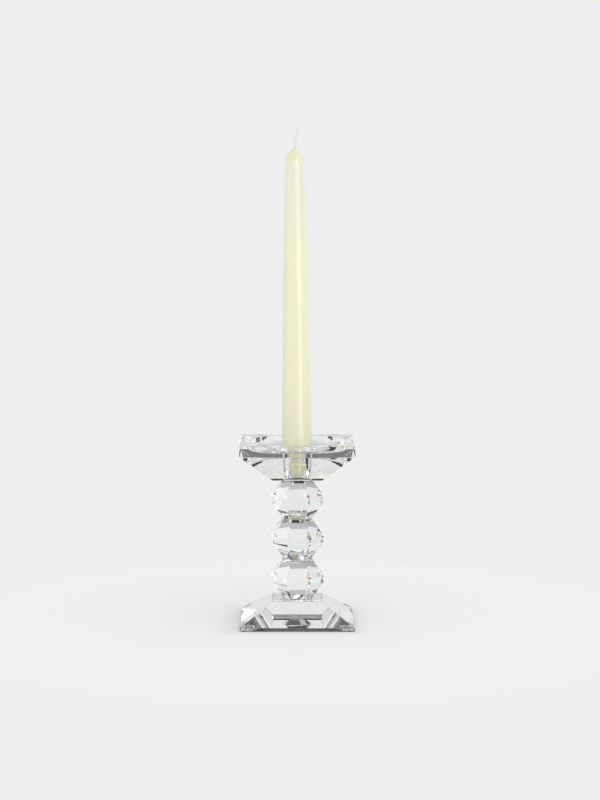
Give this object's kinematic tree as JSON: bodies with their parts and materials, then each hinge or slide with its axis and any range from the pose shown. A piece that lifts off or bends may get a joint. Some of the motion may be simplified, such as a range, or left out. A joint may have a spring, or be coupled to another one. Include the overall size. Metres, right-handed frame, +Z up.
{
  "type": "candlestick",
  "caption": "Clear cut-glass candlestick: square bevelled foot, stem of eight-sided balls, square dish with a round recess, and a tapered dinner candle that lifts out.",
  "frame": {"origin": "centre of the plane that the bumper feet rest on", "axes": "+Z up through the stem and the candle, +X to the right and +Y to the back, both square to the foot's sides"},
  "size_m": [0.088, 0.088, 0.3845],
  "materials": {
    "crystal_glass": "clear, polished flat cuts, no tint",
    "clear_adhesive": "clear cured adhesive film",
    "clear_bumper": "soft clear bumper, satin",
    "ivory_wax": "ivory candle wax, soft satin sheen; matte_plastic stands in for wax",
    "cotton": "braided cotton wick, lightly waxed"
  },
  "bodies": {
    "holder": {"foot_block": "crystal_glass", "bumper_front_left": "clear_bumper", "bumper_front_right": "clear_bumper", "bumper_back_left": "clear_bumper", "bumper_back_right": "clear_bumper", "bond_foot": "clear_adhesive", "ball_lower": "crystal_glass", "bond_lower": "clear_adhesive", "ball_middle": "crystal_glass", "bond_upper": "clear_adhesive", "ball_upper": "crystal_glass", "bond_dish": "clear_adhesive", "dish": "crystal_glass"},
    "candle": {"candle_wax": "ivory_wax", "candle_wick": "cotton"}
  },
  "joints": [
    {"name": "candle_lift", "type": "slide", "parent": "holder", "child": "candle", "axis": [0, 0, 1], "range_m": [0, 0.03]}
  ]
}
